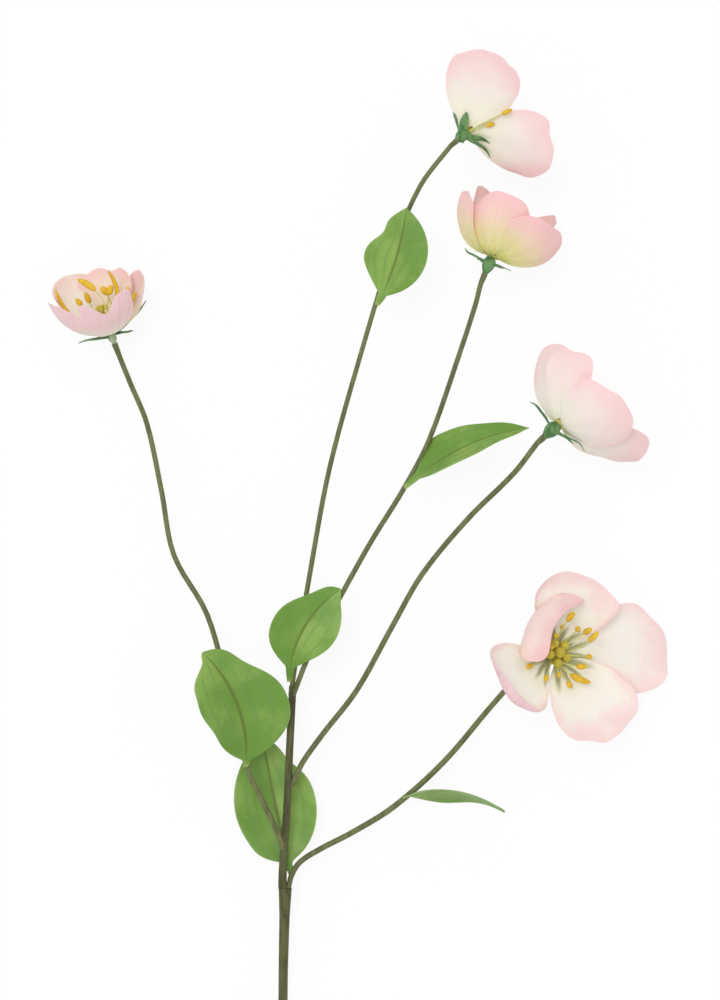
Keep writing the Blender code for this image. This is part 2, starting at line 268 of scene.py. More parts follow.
def makePetalPaint():
    tree, given, out = startGroup("petalPaint", ("Claw", "Middle", "Rim", "Throat"),
                                  ("Rim Start", "Claw End", "Throat End", "Streaks"))
    along, across, aside = sheetPlace(tree)
    cloud = calc(tree, "SUBTRACT", grain(tree, 70, 3), 0.5)
    share = calc(tree, "MULTIPLY_ADD", calc(tree, "POWER", aside, 2.2), -0.8, 1.0)
    share = calc(tree, "MULTIPLY", along, share)  # how far out from the claw
    edge = calc(tree, "MULTIPLY_ADD", cloud, 0.5, along)
    rim = ramp(tree, edge, given["Rim Start"], 1.06)
    rim = calc(tree, "MULTIPLY", rim, ramp(tree, share, 0.1, 0.62))
    colour = tint(tree, rim, given["Middle"], given["Rim"])
    deep = calc(tree, "MULTIPLY_ADD", cloud, 0.2, share)
    colour = tint(tree, ramp(tree, deep, given["Claw End"], 0.02), colour, given["Claw"])
    waver = calc(tree, "MULTIPLY", grain(tree, 240, 2), 0.12)
    stripe = calc(tree, "SINE", calc(tree, "MULTIPLY", calc(tree, "ADD", across, waver), 64.0))
    stripe = ramp(tree, stripe, -0.2, 1.0)
    strength = calc(tree, "MULTIPLY", ramp(tree, along, 0.1, 0.5), given["Streaks"])
    rosier = tint(tree, 1.0, colour, (0.93, 0.72, 0.74, 1), "MULTIPLY")
    colour = tint(tree, calc(tree, "MULTIPLY", stripe, strength), colour, rosier)
    brush = calc(tree, "SINE", calc(tree, "MULTIPLY", calc(tree, "ADD", across, waver), 13.0))
    brush = calc(tree, "MULTIPLY_ADD", brush, 0.08, share)
    throat = ramp(tree, brush, given["Throat End"], calc(tree, "MULTIPLY", given["Throat End"], 0.45))
    colour = tint(tree, calc(tree, "MULTIPLY", throat, 0.85), colour, given["Throat"])
    weave = ramp(tree, grain(tree, 1300, 2), 0.35, 0.7, 0.0, 0.1)
    colour = tint(tree, weave, colour, (1, 1, 1, 1), "SOFT_LIGHT")
    feed(tree, out["Colour"], colour)
    feed(tree, out["Height"], calc(tree, "MULTIPLY_ADD", grain(tree, 1500, 2), 0.4, stripe))
    return tree


def makeLeafPaint():
    tree, given, out = startGroup("leafPaint", ("Light", "Deep", "Vein", "Rib"), ("Rib Share", "Painted Shade Side"))
    along, across, aside = sheetPlace(tree)
    # painted shade: one half of the blade is pulled toward the deep green, standing in for the half turned
    # away from the light
    paintedShade = ramp(tree, calc(tree, "MULTIPLY", across, given["Painted Shade Side"]), -0.1, 0.1)
    cloud = calc(tree, "ADD", calc(tree, "MULTIPLY", paintedShade, 0.12), grain(tree, 46, 4))
    colour = tint(tree, ramp(tree, cloud, 0.3, 0.72), given["Light"], given["Deep"])
    wander = calc(tree, "MULTIPLY_ADD", calc(tree, "SUBTRACT", grain(tree, 110, 2), 0.5), 0.16, aside)
    veins = 0.0
    for place, width in ((0.36, 0.085), (0.72, 0.07)):  # two long veins on each side of the rib
        away = calc(tree, "ABSOLUTE", calc(tree, "SUBTRACT", wander, place))
        veins = calc(tree, "MAXIMUM", veins, ramp(tree, away, width, 0.0))
    colour = tint(tree, calc(tree, "MULTIPLY", veins, 0.4), colour, given["Vein"])
    cross = calc(tree, "ADD", calc(tree, "MULTIPLY", along, 210.0), calc(tree, "MULTIPLY", wander, 60.0))
    cross = ramp(tree, calc(tree, "SINE", cross), 0.2, 1.0)
    colour = tint(tree, calc(tree, "MULTIPLY", cross, 0.05), colour, given["Light"])
    speck = ramp(tree, grain(tree, 700, 3), 0.35, 0.68)
    colour = tint(tree, calc(tree, "MULTIPLY", speck, 0.22), colour, given["Deep"])
    rib = ramp(tree, aside, 0.1, 0.035)
    rib = calc(tree, "MULTIPLY", rib, given["Rib Share"])
    colour = tint(tree, rib, colour, given["Rib"])
    paleFoot = paint(176, 190, 118)
    colour = tint(tree, ramp(tree, along, 0.16, 0.04, 0.0, 0.7), colour, paleFoot)
    feed(tree, out["Colour"], colour)
    height = calc(tree, "SUBTRACT", calc(tree, "MULTIPLY", speck, 0.4), calc(tree, "MULTIPLY", cross, 0.3))
    feed(tree, out["Height"], height)
    return tree


def makeStalkPaint():
    tree, given, out = startGroup("stalkPaint", ("Base", "Streak", "Speck"), ("Amount",))
    streak = ramp(tree, grain(tree, 420, 3, (1, 0.16, 1)), 0.38, 0.62)
    colour = tint(tree, calc(tree, "MULTIPLY", streak, given["Amount"]), given["Base"], given["Streak"])
    speck = ramp(tree, grain(tree, 1600, 2), 0.56, 0.7)
    colour = tint(tree, calc(tree, "MULTIPLY", speck, 0.5), colour, given["Speck"])
    feed(tree, out["Colour"], colour)
    feed(tree, out["Height"], calc(tree, "MULTIPLY_ADD", speck, 0.5, streak))
    return tree


def finishMaterial(name, group, colours, roughness, bump, thin=0, sheen=0):
    material = bpy.data.materials.new(name)
    material.use_nodes = True
    tree = material.node_tree
    shader = tree.nodes["Principled BSDF"]
    shader.inputs["Roughness"].default_value = roughness
    shader.inputs["Specular IOR Level"].default_value = 0.3
    shader.inputs["Subsurface Weight"].default_value = thin
    shader.inputs["Subsurface Radius"].default_value = (1.0, 0.9, 0.8)
    shader.inputs["Subsurface Scale"].default_value = 0.001
    shader.inputs["Sheen Weight"].default_value = sheen
    painted = tree.nodes.new("ShaderNodeGroup")
    painted.node_tree = group
    for label, value in colours.items():
        painted.inputs[label].default_value = value
    tree.links.new(painted.outputs["Colour"], shader.inputs["Base Color"])
    relief = tree.nodes.new("ShaderNodeBump")
    relief.inputs["Strength"].default_value = bump
    relief.inputs["Distance"].default_value = 0.0001
    tree.links.new(painted.outputs["Height"], relief.inputs["Height"])
    tree.links.new(relief.outputs["Normal"], shader.inputs["Normal"])
    return material


petalPaint = makePetalPaint()
leafPaint = makeLeafPaint()
stalkPaint = makeStalkPaint()

# Claw, middle, rim and throat, then where the rim starts and where the claw and the throat end, all
# as shares of the way out, and how strong the streaks are.
petalTints = {
    "cream": (paint(246, 243, 216), paint(250, 244, 231), paint(250, 214, 212), paint(142, 148, 94),
              0.6, 0.5, 0.29, 0.06),
    "shell": (paint(245, 240, 216), paint(245, 231, 223), paint(248, 206, 208), paint(232, 228, 180),
              0.52, 0.62, 0.08, 0.07),
    "blush": (paint(246, 241, 222), paint(248, 230, 223), paint(252, 211, 211), paint(239, 236, 204),
              0.46, 0.56, 0.08, 0.08),
    "rosy": (paint(245, 216, 208), paint(245, 217, 211), paint(242, 194, 194), paint(240, 220, 190),
             0.72, 0.3, 0.05, 0.06),
    "mauve": (paint(242, 238, 218), paint(238, 204, 204), paint(242, 204, 210), paint(226, 226, 180),
              0.6, 0.62, 0.1, 0.3),
    "lemon": (paint(226, 222, 140), paint(244, 216, 188), paint(250, 198, 198), paint(206, 208, 110),
              0.42, 0.72, 0.16, 0.12),
    "golden": (paint(250, 236, 176), paint(250, 232, 216), paint(250, 206, 206), paint(206, 200, 100),
               0.55, 0.55, 0.3, 0.1),
}


def petalMaterial(name):
    claw, middle, rim, throat, rimStart, clawEnd, throatEnd, streaks = petalTints[name]
    colours = {"Claw": claw, "Middle": middle, "Rim": rim, "Throat": throat, "Rim Start": rimStart,
               "Claw End": clawEnd, "Throat End": throatEnd, "Streaks": streaks}
    return finishMaterial(name + "Petal", petalPaint, colours, 0.55, 0.15, thin=0.25, sheen=0.1)


petalMaterials = {name: petalMaterial(name) for name in petalTints}
# the two leaf faces differ only in which half of the blade gets the painted shade
leafFacesByPaintedShade = {side: finishMaterial(name, leafPaint, {
    "Light": paint(148, 181, 90), "Deep": paint(108, 149, 58), "Vein": paint(102, 140, 74),
    "Rib": paint(100, 118, 44), "Rib Share": 0.85, "Painted Shade Side": side}, 0.42, 0.4, thin=0.1)
    for side, name in ((1, "leafFacePaintedShadeLeft"), (-1, "leafFacePaintedShadeRight"))}
# the back keeps the group's default side of 1, so its left half gets the same painted shade
leafBack = finishMaterial("leafBack", leafPaint, {
    "Light": paint(160, 190, 128), "Deep": paint(132, 168, 96), "Vein": paint(120, 150, 104),
    "Rib": paint(150, 160, 90), "Rib Share": 0.9}, 0.55, 0.4, thin=0.1)
skinTints = {  # base, streak and speck, then the share of streak, the roughness and the relief
    "stalkSkin": (paint(112, 119, 74), paint(80, 83, 50), paint(150, 150, 110), 0.6, 0.5, 0.5),
    "woodSkin": (paint(94, 95, 58), paint(60, 58, 34), paint(128, 124, 88), 0.75, 0.55, 0.6),
    "cutWood": (paint(206, 206, 160), paint(172, 176, 120), paint(226, 224, 190), 0.6, 0.7, 0.6),
    "calyxSkin": (paint(110, 152, 92), paint(56, 100, 58), paint(158, 188, 128), 0.85, 0.5, 0.8),
    "paleCalyx": (paint(176, 192, 158), paint(136, 160, 120), paint(206, 214, 190), 0.7, 0.5, 0.6),
    "antherSkin": (paint(234, 192, 50), paint(210, 164, 32), paint(246, 218, 104), 0.6, 0.6, 0.7),
    "filamentSkin": (paint(214, 212, 132), paint(190, 190, 96), paint(230, 226, 160), 0.5, 0.5, 0.3),
    "pistilSkin": (paint(210, 194, 74), paint(176, 162, 50), paint(226, 212, 116), 0.6, 0.6, 0.9),
}


def skinMaterial(name):
    base, streak, speck, amount, roughness, relief = skinTints[name]
    colours = {"Base": base, "Streak": streak, "Speck": speck, "Amount": amount}
    return finishMaterial(name, stalkPaint, colours, roughness, relief)


skins = {name: skinMaterial(name) for name in skinTints}
print("materials ready")

# Points up the plant in millimetres: x, y, z, radius. The side stems start inside the stem
# that carries them, and a flower's stem ends in the foot of its calyx.
stems = {
    "mainLower": (
        (-38.8, -275.5, 2.3, 2.3), (-38.9, -235.0, 5.6, 2.3), (-38.6, -190.0, 9.2, 2.35),
        (-37.9, -160.0, 11.6, 2.6), (-37.5, -145.2, 12.8, 3.3),
    ),
    "mainUpper": (
        (-38.4, -147.5, 12.8, 2.3), (-38.9, -143.0, 12.8, 2.15), (-38.3, -128.0, 14.2, 1.95),
        (-36.6, -106.0, 16.0, 1.95), (-35.2, -75.0, 18.4, 1.9), (-33.6, -43.5, 20.6, 1.9),
    ),
    "flowerA": (
        (-34.6, -48.0, 19.6, 1.3), (-31.4, -26.0, 22.0, 1.25), (-24.6, 15.0, 26.0, 1.25),
        (-15.0, 66.0, 30.0, 1.25), (1.0, 124.0, 34.0, 1.2), (16.3, 173.2, 39.0, 1.2),
        (29.5, 204.0, 46.0, 1.2),
    ),
    "flowerB": (
        (-33.4, -48.0, 20.8, 1.3), (-25.0, -27.0, 23.5, 1.3), (-8.5, 3.7, 26.0, 1.3),
        (6.0, 29.6, 28.0, 1.3), (21.4, 54.5, 30.0, 1.3), (34.3, 79.3, 32.0, 1.25),
        (50.0, 124.0, 35.0, 1.25), (57.4, 147.0, 36.8, 1.25),
    ),
    "flowerC": (
        (-36.0, -97.0, 16.4, 1.2), (-32.6, -90.0, 17.4, 1.4), (-28.6, -81.6, 18.4, 1.4),
        (-18.6, -67.5, 20.5, 1.4), (-1.6, -45.3, 25.0, 1.4), (16.4, -12.7, 30.0, 1.35),
        (31.0, 12.9, 35.0, 1.35), (53.4, 40.2, 40.5, 1.35), (76.0, 62.7, 43.5, 1.35),
    ),
    "flowerD": (
        (-36.2, -147.0, 12.4, 1.3), (-34.4, -139.0, 12.2, 1.4), (-30.1, -132.2, 12.5, 1.4),
        (-20.0, -125.6, 13.2, 1.45), (-3.5, -116.9, 14.8, 1.45), (17.0, -104.0, 16.5, 1.5),
        (42.1, -81.9, 11.5, 1.45), (66.0, -54.4, 5.4, 1.4), (82.0, -36.8, 3.0, 1.4),
    ),
    "flowerE": (
        (-38.4, -126.5, 14.6, 1.2), (-40.2, -120.0, 16.8, 1.35), (-43.4, -112.0, 18.9, 1.35),
        (-56.5, -84.0, 20.0, 1.35), (-66.0, -45.5, 19.0, 1.35), (-76.5, -8.0, 17.0, 1.35),
        (-93.3, 21.9, 14.0, 1.3), (-99.6, 54.0, 12.5, 1.3), (-107.0, 88.0, 12.0, 1.3),
        (-115.2, 108.0, 12.6, 1.3),
    ),
}
# The seat of the petals and the way each flower faces, with the size of its calyx. Spins are round
# its axis, from its upper side. "open" is the angle from the axis at the claw and at the rim, and
# "hinge" how sharp the turn between them is. "cup" bends a petal across and "roll" turns it about its
# midline. "ends" is how hollow its outline is at the claw and at the rim, and "skew" how much wider
# the side of the higher spin is. Places across it run from -1 to 1, toward the higher spin. A notch
# is its place, its depth as a share of the length, and its spread, and below 0 it is a bulge. "ribs"
# is their count and height. A crease is its place, its start and end on the way out, and its depth.
# "curls" is where the rim starts to roll in, then place, spread and turn of each curl. A sepal is its
# spin, the two angles from the axis, length, width and tip turn, and a stamen its two spins, two
# angles, length, anther length and thickness.
flowers = {
    "a": {"seat": (52.4, 231.6, 40.1), "heading": 45, "pitch": -35, "calyx": 0.82, "petals": (
        {"spin": -32, "open": (56, 68), "length": 39.6, "width": 39.5, "cup": 26, "roll": 12,
         "ends": (0.62, 0.4), "notches": ((0.3, 0.03, 0.05), (-0.36, 0.05, 0.2)), "outer": "shell"},
        {"spin": 66, "open": (66, 72), "length": 42, "width": 36, "cup": 26, "roll": -22, "ends": (0.72, 0.4),
         "notches": ((-0.25, 0.07, 0.16), (0.06, -0.08, 0.09), (0.66, 0.08, 0.07)),
         "outer": "shell"},
        {"spin": 122, "open": (46, 50), "length": 34, "width": 28, "cup": 30, "roll": -8, "outer": "shell"},
        {"spin": 178, "open": (40, 46), "length": 36, "width": 28, "cup": 30, "roll": 6, "outer": "shell"},
        {"spin": -98, "open": (36, 42), "length": 35, "width": 28, "cup": 30, "roll": 8, "outer": "shell"}),
        "sepals": ((-42, 60, 50, 9.5, 5.6, 0), (66, 64, 58, 12, 4.6, -30), (92, 70, 62, 16, 3.4, -60),
                   (-88, 62, 42, 17.5, 2.2, 40), (170, 66, 50, 12, 4, 0)),
        "stamens": ((21, 21, 58, 66, 25, 6, 1.2), (32, 32, 56, 64, 13.5, 5, 1.2),
                    (60, 64, 26, 34, 14, 4, 1.2), (85, 80, 24, 30, 20, 4, 1.2),
                    (-20, -10, 14, 26, 22, 5, 1.3), (140, 140, 12, 24, 20, 4, 1.2),
                    (200, 200, 12, 22, 24, 5, 1.3), (-90, -80, 14, 24, 22, 4, 1.2))},
    "b": {"seat": (65.0, 169.4, 35.4), "heading": 68, "pitch": -12, "calyx": 0.85, "petals": (
        {"spin": -14, "open": (74, -4), "length": 35.5, "width": 35, "cup": 36, "roll": 4,
         "ends": (0.75, 0.42), "notches": ((0.2, -0.03, 0.15), (0.46, 0.03, 0.08), (-0.5, 0.14, 0.25)),
         "ribs": (3, 0.35), "inner": "golden", "outer": "lemon"},
        {"spin": 52, "open": (84, 14), "length": 35.5, "width": 37, "cup": 36, "roll": -14,
         "ends": (0.75, 0.42), "notches": ((0.0, 0.03, 0.1), (-0.5, 0.05, 0.2)),
         "ribs": (4, 0.2), "inner": "golden", "outer": "lemon"},
        {"spin": 134, "open": (68, -2), "length": 47, "width": 34, "cup": 34, "roll": -8,
         "notches": ((0.0, -0.06, 0.1), (-0.3, 0.05, 0.14)), "inner": "rosy", "outer": "lemon"},
        {"spin": -144, "open": (57, -3), "length": 43, "width": 30, "cup": 34, "roll": 6,
         "inner": "rosy", "outer": "lemon"},
        {"spin": -84, "open": (88, -2), "length": 38, "width": 32, "cup": 34, "roll": 0,
         "notches": ((-0.1, -0.08, 0.12),), "ribs": (4, 0.3), "inner": "golden", "outer": "lemon"}),
        "sepals": ((-72, 96, 86, 12.5, 2.6, 30), (62, 96, 90, 10, 2.8, -30), (-14, 60, 50, 4, 3.4, 0),
                   (120, 80, 70, 9, 3.5, 0), (-150, 80, 70, 9, 3.5, 0)),
        "stamens": ()},
    "c": {"seat": (97.5, 86.6, 40.6), "heading": 42, "pitch": -20, "calyx": 0.95, "petals": (
        {"spin": 28, "open": (84, 32), "length": 39.5, "width": 42, "cup": 34, "roll": -4,
         "ends": (0.55, 0.42), "skew": -0.02, "outer": "blush",
         "notches": ((0.0, -0.1, 0.13), (-0.4, 0.04, 0.2), (0.4, 0.03, 0.16))},
        {"spin": 90, "open": (72, 48), "length": 44, "width": 36, "cup": 30, "roll": -14,
         "ends": (0.85, 0.42), "ribs": (4, 0.4), "outer": "shell",
         "notches": ((0.0, 0.03, 0.1), (-0.35, -0.07, 0.18), (0.35, 0.04, 0.15))},
        {"spin": 156, "open": (64, 38), "length": 42, "width": 33, "cup": 30, "roll": 0, "outer": "shell"},
        {"spin": -116, "open": (70, 34), "length": 39, "width": 32, "cup": 30, "roll": 10, "outer": "shell"},
        {"spin": -60, "open": (68, 24), "length": 38.5, "width": 41, "cup": 34, "roll": 12,
         "ends": (0.6, 0.42), "creases": ((-0.3, 0.5, 0.9, 1.9), (0.4, 0.72, 1.05, 1.1)),
         "notches": ((0.1, 0.06, 0.13), (0.4, -0.05, 0.15), (0.75, 0.12, 0.2), (-0.5, -0.05, 0.2)),
         "outer": "blush"}),
        "sepals": ((-88, 78, 92, 15, 2.6, -40), (78, 72, 64, 17, 2.4, -50), (92, 70, 66, 10, 6, -10),
                   (5, 50, 40, 3, 3, 0), (170, 66, 50, 12, 4, 0)),
        "stamens": ()},
    "d": {"seat": (96.7, -27.7, 15.0), "heading": 15, "pitch": 58, "calyx": 0.9, "petals": (
        {"spin": 168, "open": (78, 67), "length": 58.8, "width": 48, "cup": 14, "roll": 6,
         "ends": (0.78, 0.4), "outer": "blush",
         "notches": ((0.32, 0.09, 0.22), (-0.12, 0.015, 0.08), (-0.6, 0.04, 0.2))},
        {"spin": 104, "open": (69, 66), "length": 49.5, "width": 46, "cup": 16, "roll": 6,
         "ends": (0.75, 0.42), "curls": (0.86, ((0.8, 0.2, 70),)), "outer": "blush",
         "notches": ((-0.7, -0.06, 0.2), (-0.32, 0.06, 0.12), (-0.06, -0.05, 0.1), (0.22, 0.02, 0.12))},
        {"spin": 14, "open": (88, 58), "length": 50, "width": 43, "cup": 24, "roll": 8, "ends": (0.9, 0.42),
         "skew": -0.03, "notches": ((-0.55, -0.05, 0.12), (0.4, 0.06, 0.2), (0.9, -0.08, 0.15)),
         "curls": (0.82, ((0.2, 0.5, 155),)), "outer": "mauve"},
        {"spin": -50, "open": (96, -60), "length": 44.5, "width": 41, "cup": 26, "roll": 4, "hinge": 2,
         "ends": (1.0, 0.4), "creases": ((-0.42, 0.55, 0.95, 0.7),), "skew": -0.1,
         "notches": ((-0.1, 0.14, 0.28), (-0.62, -0.4, 0.2)), "outer": "rosy"},
        {"spin": -119, "open": (80, 55), "length": 40, "width": 47, "cup": 20, "roll": -9,
         "ends": (0.9, 0.42), "notches": ((-0.05, -0.03, 0.05), (-0.62, -0.06, 0.15), (0.5, 0.05, 0.2)),
         "curls": (0.82, ((-0.8, 0.2, 120), (0.7, 0.25, 60))), "outer": "blush"}),
        "sepals": ((40, 70, 60, 12, 4, 0), (112, 70, 60, 12, 4, 0), (184, 70, 60, 12, 4, 0),
                   (256, 70, 60, 12, 4, 0), (328, 70, 60, 12, 4, 0)),
        "stamens": ((-96, -128, 46, 42, 25, 6.5, 1.6), (-105, -105, 44, 56, 15, 2.6, 1.1),
                    (-138, -138, 40, 48, 18, 3, 1.5), (-150, -150, 30, 42, 23, 5, 1.6),
                    (-192, -125, 22, 48, 26.5, 7.5, 1.5), (152, 152, 28, 40, 19, 3, 1.5),
                    (70, 175, 20, 40, 22, 6, 1.5), (72, 152, 38, 63, 25, 11.5, 1.8),
                    (75, 95, 48, 66, 19.5, 4, 1.4), (62, 62, 40, 62, 14, 3, 1.2),
                    (38, 38, 54, 74, 18, 4, 1.3), (6, 6, 62, 84, 21, 4.5, 1.3),
                    (-30, -30, 24, 36, 14, 3, 1.2), (-70, -70, 28, 42, 15, 3, 1.2))},
    "e": {"seat": (-124.8, 133.0, 18.2), "heading": 110, "pitch": 22, "calyx": 0.6,
          "calyxSkin": "paleCalyx", "petals": (
        {"spin": 8, "open": (82, -6), "length": 37, "width": 29, "cup": 40, "roll": 0, "ends": (0.85, 0.42),
         "notches": ((-0.01, 0.27, 0.19), (0.55, -0.17, 0.14), (-0.38, -0.08, 0.13)), "ribs": (7, 0.35),
         "outer": "mauve"},
        {"spin": 112, "open": (84, 6), "length": 35, "width": 31, "cup": 30, "roll": 0, "inner": "golden",
         "notches": ((-0.1, 0.04, 0.1), (0.45, 0.14, 0.25)), "outer": "shell"},
        {"spin": 160, "open": (62, 8), "length": 34, "width": 33, "cup": 32, "roll": -6, "inner": "golden",
         "notches": ((-0.1, 0.09, 0.1),), "ribs": (3, 0.5), "outer": "blush"},
        {"spin": -142, "open": (64, 4), "length": 37, "width": 31, "cup": 32, "roll": 8,
         "outer": "blush"},
        {"spin": -82, "open": (80, -6), "length": 34, "width": 29, "cup": 34, "roll": 10, "ribs": (5, 0.3),
         "notches": ((-0.1, -0.05, 0.1),), "outer": "mauve"}),
        "sepals": ((-80, 74, 74, 16, 6.5, 0), (112, 102, 110, 10.5, 3.6, 0), (124, 84, 70, 27, 2.0, 0),
                   (160, 80, 70, 12, 4, 0), (-140, 80, 70, 12, 4, 0)),
        "stamens": ((-108, -108, 66, -6, 36, 18, 1.0), (-125, -125, 30, 24, 23, 4.5, 1.4),
                    (-130, -130, -48, 70, 37, 11.5, 1.7), (-135, -165, 20, 14, 23, 6, 1.5),
                    (125, 125, 36, -24, 24.5, 5.5, 1.8), (118, 118, -8, 48, 24, 5.5, 1.8),
                    (112, 112, 46, -14, 32, 17, 1.2), (109, 109, 70, 8, 24, 5, 1.3),
                    (104, 100, 54, 48, 22.5, 6.5, 1.2), (-60, -60, 20, 30, 16, 3, 1.2),
                    (40, 40, 20, 30, 17, 3, 1.2))},
}
calyxLength = 11


def flowerAxis(flower):
    return aim(math.radians(flower["heading"]), math.radians(flower["pitch"]))


def smoothRoute(route, perSpan=6):  # a soft curve through the points, in metres
    places = [(Vector(point[:3]), point[3]) for point in route]
    soft = []
    for index in range(len(places) - 1):
        before = places[max(index - 1, 0)]
        start, end = places[index], places[index + 1]
        after = places[min(index + 2, len(places) - 1)]
        span = (end[0] - start[0]).length
        leave = (end[0] - before[0]).normalized() * span
        arrive = (after[0] - start[0]).normalized() * span
        for step in range(perSpan):
            share = step / perSpan
            square, cube = share ** 2, share ** 3
            place = (start[0] * (2 * cube - 3 * square + 1) + leave * (cube - 2 * square + share)
                     + end[0] * (3 * square - 2 * cube) + arrive * (cube - square))
            soft.append((place * mm, blend((start[1], end[1]), share)))
    soft.append((places[-1][0] * mm, places[-1][1]))
    return soft


def makeStem(name, node):
    route = list(stems[name])
    letter = node[-1]
    if "flower" in name:
        axis = flowerAxis(flowers[letter])
        seat = Vector(flowers[letter]["seat"])
        radius = route[-1][3]
        reach = calyxLength * flowers[letter]["calyx"] - 0.5
        for short, thicker in ((calyxLength + 3.3, 1), (reach + 2, 1.15), (reach, 1.25)):
            route.append((*(seat - axis * short), radius * thicker))  # swells toward the calyx
    piece = addRod(name, [smoothRoute(route)], 4)
    piece.data.materials.append(skins["woodSkin" if "main" in name else "stalkSkin"])
    if name == "mainLower":
        piece.data.materials.append(skins["cutWood"])
        for face in piece.data.polygons:
            if face.normal.y < -0.9 and face.center.y < -0.27:
                face.material_index = 1
    piece.name = name
    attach(piece, "root")
    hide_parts(node)


makeStem("mainLower", "stem_main_lower")
makeStem("mainUpper", "stem_main_upper")
for letter in "abcde":
    makeStem("flower" + letter.upper(), "stem_flower_" + letter)
print("stems ready")

leafShape = {
    "rows": 44, "columns": 22, "thickness": 0.5, "collar": 1.1, "collarEnd": 8, "wave": 0.5,
    "ribDepth": 0.35, "ribWidth": 0.05, "veins": (0.36, 0.72), "veinDepth": 0.14, "veinWidth": 0.06,
}
# "heading", "pitch" and "roll" are those of the midline at the base and at the tip, in degrees.
# "ends" is how hollow the outline is at the base and at the tip, and "dark" the half that gets painted
# shade, standing in for the half turned away from the light, 1 for the left one. A dent is its side, its
# place on the way out, the share that it adds to the half's width or, below 0, takes from it, and its spread.
leaves = (
    {"base": (8.4, 146.0, 37.4), "length": 51, "width": 31, "heading": (62, 84), "pitch": (20, 3),
     "roll": (0, 0), "cup": 14, "fold": 6, "ends": (0.9, 0.9), "stalk": 0.1,
     "paintedShadeSide": -1, "dents": ((1, 0.74, -0.28, 0.11), (1, 0.4, 0.1, 0.15))},
    {"base": (22.2, 55.5, 32.5), "length": 70, "width": 25, "heading": (44, 8), "pitch": (16, -2),
     "roll": (-48, -46), "cup": 14, "fold": 8, "ends": (0.9, 1.0), "stalk": 0.1,
     "paintedShadeSide": 1, "dents": ((1, 0.28, 0.4, 0.14), (1, 0.72, -0.2, 0.15), (-1, 0.78, -0.35, 0.15))},
    {"base": (-35.2, -41.2, 21.6), "length": 56.5, "width": 34, "heading": (90, 33), "pitch": (24, -4),
     "roll": (0, 0), "cup": 14, "fold": 6, "ends": (0.9, 0.8), "stalk": 0.12,
     "paintedShadeSide": 1, "dents": ((1, 0.82, -0.42, 0.2), (1, 0.3, 0.14, 0.14), (-1, 0.95, -0.2, 0.06))},
    {"base": (-57.0, -83.8, 22.2), "length": 64.5, "width": 50, "heading": (84, 136), "pitch": (18, 0),
     "roll": (18, 22), "cup": 12, "fold": 14, "ends": (0.8, 0.8), "stalk": 0.05,
     "paintedShadeSide": -1, "dents": ((1, 0.36, -0.2, 0.2), (1, 0.84, 0.14, 0.08), (1, 0.95, -0.5, 0.04),
               (-1, 0.78, -0.34, 0.17), (-1, 0.3, 0.1, 0.14))},
    {"base": (-34.5, -139.0, 10.6), "length": 70, "width": 42, "heading": (104, 100), "pitch": (-14, 4),
     "roll": (0, 0), "cup": 12, "fold": 4, "ends": (0.6, 0.7), "stalk": 0.1,
     "paintedShadeSide": 1, "dents": ((-1, 0.85, -0.25, 0.12), (1, 0.15, 0.15, 0.1))},
    {"base": (21.5, -99.6, 18.4), "length": 54, "width": 27, "heading": (22, -38), "pitch": (6, -8),
     "roll": (70, 80), "cup": 14, "fold": 6, "ends": (0.6, 0.9), "stalk": 0.06,
     "paintedShadeSide": -1, "dents": ((1, 0.5, -0.15, 0.15), (1, 0.9, 0.3, 0.06))},
)


def makeLeaf(number, leaf):
    line = bentLine(leaf["length"], leaf["heading"], leaf["pitch"], leaf["roll"])
    base = Vector(leaf["base"])
    bend = math.radians(leaf["cup"])
    fold = math.radians(leaf["fold"])
    arch = leaf["width"] / 2 / bend
    sheet = addSheet(leafShape["rows"], leafShape["columns"])
    for vertex in sheet.data.vertices:
        share = (1 - math.cos(math.pi * (vertex.co.x + 1) / 2)) / 2
        across = math.copysign(abs(vertex.co.y) ** 1.25, vertex.co.y)
        past = (share - leaf["stalk"]) / (1 - leaf["stalk"])
        half = halfWidth(leaf["width"], past, *leaf["ends"])
        collar = leafShape["collar"] * (1 + min(share / leaf["stalk"], 1))
        collar -= leafShape["collarEnd"] * max(share - leaf["stalk"], 0)
        half = max(half, collar if share < 0.5 else 0)  # the leaf stalk, which ends in the blade
        for side, place, amount, spread in leaf["dents"]:
            if side * across > 0:
                half *= 1 + amount * math.exp(-((share - place) / spread) ** 2) * abs(across)
        off = half * across
        angle = abs(off) / arch + fold
        point, aside, upper = line(share)
        lift = arch * (math.cos(fold) - math.cos(angle))
        lift -= leafShape["ribDepth"] * math.exp(-(across / leafShape["ribWidth"]) ** 2) * (1 - share)
        for place in leafShape["veins"]:
            away = (abs(across) - place) / leafShape["veinWidth"]
            lift -= leafShape["veinDepth"] * math.exp(-away ** 2)
        lift += leafShape["wave"] * math.sin(9 * share + 2.2 * vertex.co.y) * across ** 2
        sideways = math.copysign(arch * (math.sin(angle) - math.sin(fold)), off)
        vertex.co = (base + point + aside * sideways + upper * lift) * mm
    # the upper face takes the copy with painted shade on the leaf's given half
    closeSheet(sheet, leafShape["thickness"], leafFacesByPaintedShade[leaf["paintedShadeSide"]], leafBack)
    piece = joinPieces(f"leaf{number}", [sheet])
    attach(piece, "root")
    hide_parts(f"leaf_{number}")


for number, leaf in enumerate(leaves, 1):
    makeLeaf(number, leaf)
print("leaves ready")

